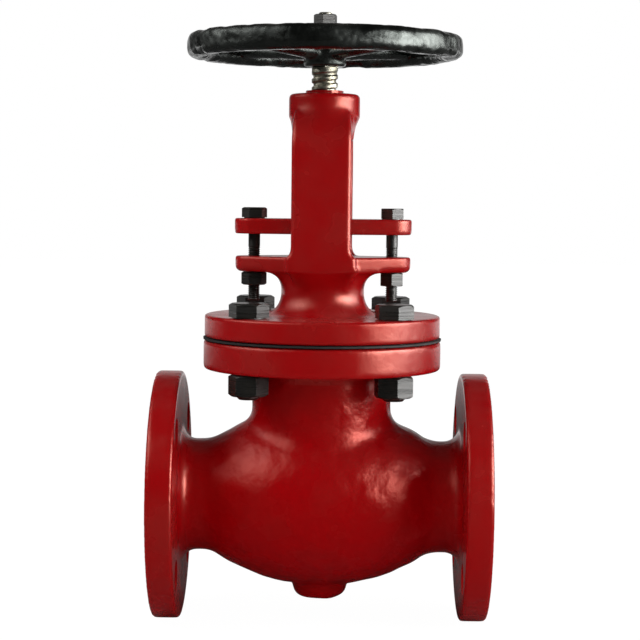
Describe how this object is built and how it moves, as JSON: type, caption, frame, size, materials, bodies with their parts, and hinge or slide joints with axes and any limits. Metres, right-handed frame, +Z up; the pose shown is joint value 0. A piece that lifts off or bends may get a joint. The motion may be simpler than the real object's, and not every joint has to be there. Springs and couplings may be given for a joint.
{
  "type": "globe valve",
  "caption": "Flanged globe valve with a round bulb body, bolted bonnet, outside yoke, packed gland, rising stem, disc and a spoked handwheel.",
  "frame": {"origin": "where the pipe's axis meets the stem's axis", "axes": "+X along the pipe from the inlet to the outlet, +Z up the stem, +Y away from the pictured side"},
  "size_m": [0.2032, 0.168, 0.3727],
  "materials": {
    "red_enamel": "gloss red enamel over cast iron",
    "black_enamel": "gloss black enamel over rough cast iron",
    "black_steel": "black oxide",
    "machined_steel": "turned, lightly oiled",
    "bronze": "turned bronze",
    "graphite_packing": "braided graphite, matt",
    "gasket_sheet": "compressed fibre sheet, matt"
  },
  "bodies": {
    "valve_body": {"back_seat_bush": "bronze", "body_casting": "red_enamel", "bonnet": "red_enamel", "bonnet_bolt_1": "black_steel", "bonnet_bolt_2": "black_steel", "bonnet_bolt_3": "black_steel", "bonnet_bolt_4": "black_steel", "bonnet_gasket": "gasket_sheet", "bonnet_nut_1": "black_steel", "bonnet_nut_2": "black_steel", "bonnet_nut_3": "black_steel", "bonnet_nut_4": "black_steel", "gland_nut_left": "black_steel", "gland_nut_right": "black_steel", "packing_ring_1": "graphite_packing", "packing_ring_2": "graphite_packing", "packing_ring_3": "graphite_packing", "packing_ring_4": "graphite_packing", "seat_ring": "bronze", "yoke_bush": "bronze"},
    "gland": {"gland_bush": "machined_steel", "gland_flange": "red_enamel", "gland_bolt_left": "black_steel", "gland_bolt_right": "black_steel"},
    "disc_assembly": {"disc": "bronze", "disc_nut": "bronze"},
    "stem_assembly": {"stem": "machined_steel", "handwheel": "black_enamel", "wheel_washer": "machined_steel", "wheel_nut": "black_steel"}
  },
  "joints": [
    {"name": "stem_lift", "type": "slide", "parent": "valve_body", "child": "disc_assembly", "axis": [0, 0, 1], "range_m": [0, 0.016]},
    {"name": "stem_turn", "type": "hinge", "parent": "disc_assembly", "child": "stem_assembly", "pos_m": [0, 0, 0.15], "axis": [0, 0, 1], "range_deg": [0, 1150]},
    {"name": "gland_take_up", "type": "slide", "parent": "valve_body", "child": "gland", "axis": [0, 0, 1], "range_m": [-0.005, 0], "deforming": ["packing_ring_1", "packing_ring_2", "packing_ring_3", "packing_ring_4"]}
  ],
  "couplings": [
    {"joint": "stem_lift", "follows": "stem_turn", "m_per_rad": 0.00079577}
  ]
}
